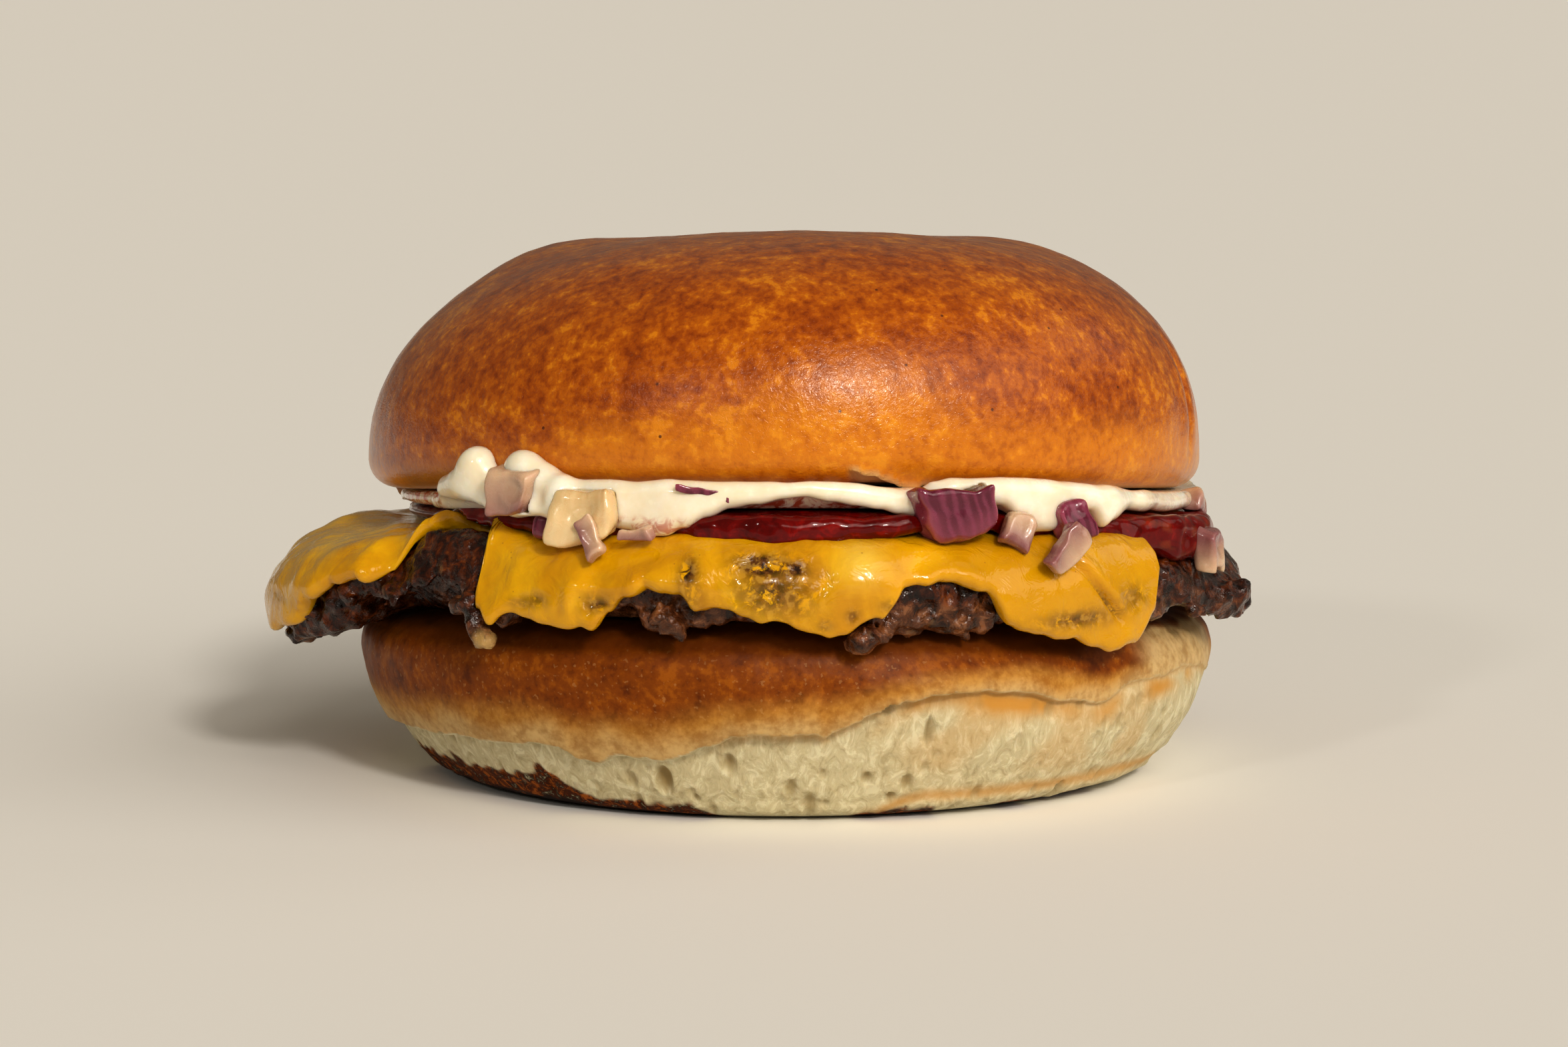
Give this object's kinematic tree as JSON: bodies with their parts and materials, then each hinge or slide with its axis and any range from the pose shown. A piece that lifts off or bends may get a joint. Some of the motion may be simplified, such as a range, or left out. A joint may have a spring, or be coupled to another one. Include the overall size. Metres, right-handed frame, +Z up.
{
  "type": "cheeseburger",
  "caption": "Cheeseburger in a soft bun: seared patty under melted cheese, ketchup, white sauce and diced red onion.",
  "frame": {"origin": "centre of the lower bun's flat base, on the surface that the burger stands on, on the buns' middle line", "axes": "+Z up through the stack, -Y towards the front that the picture shows, +X to the right of that front"},
  "size_m": [0.1196, 0.1139, 0.0662],
  "materials": {
    "crust": "glossy baked crust",
    "heel": "soft baked bread",
    "seared_beef": "seared, wet with fat",
    "cheese": "melted, smooth",
    "ketchup": "wet",
    "mayonnaise": "wet",
    "onion_blush": "translucent, wet",
    "onion_ivory": "translucent, wet",
    "onion_purple": "translucent, wet"
  },
  "bodies": {
    "root": {"lower_bun": "heel", "patty": "seared_beef", "cheese": "cheese", "ketchup": "ketchup", "mayonnaise": "mayonnaise", "upper_bun": "crust", "onion_01": "onion_blush", "onion_02": "onion_ivory", "onion_03": "onion_blush", "onion_04": "onion_blush", "onion_05": "onion_purple", "onion_06": "onion_purple", "onion_07": "onion_blush", "onion_08": "onion_purple", "onion_09": "onion_blush", "onion_10": "onion_blush", "onion_11": "onion_blush", "onion_12": "onion_purple", "onion_13": "onion_ivory", "onion_14": "onion_blush", "onion_15": "onion_purple", "onion_16": "onion_ivory", "onion_17": "onion_blush", "onion_18": "onion_purple", "onion_19": "onion_blush", "onion_20": "onion_ivory", "onion_21": "onion_blush"}
  },
  "joints": []
}
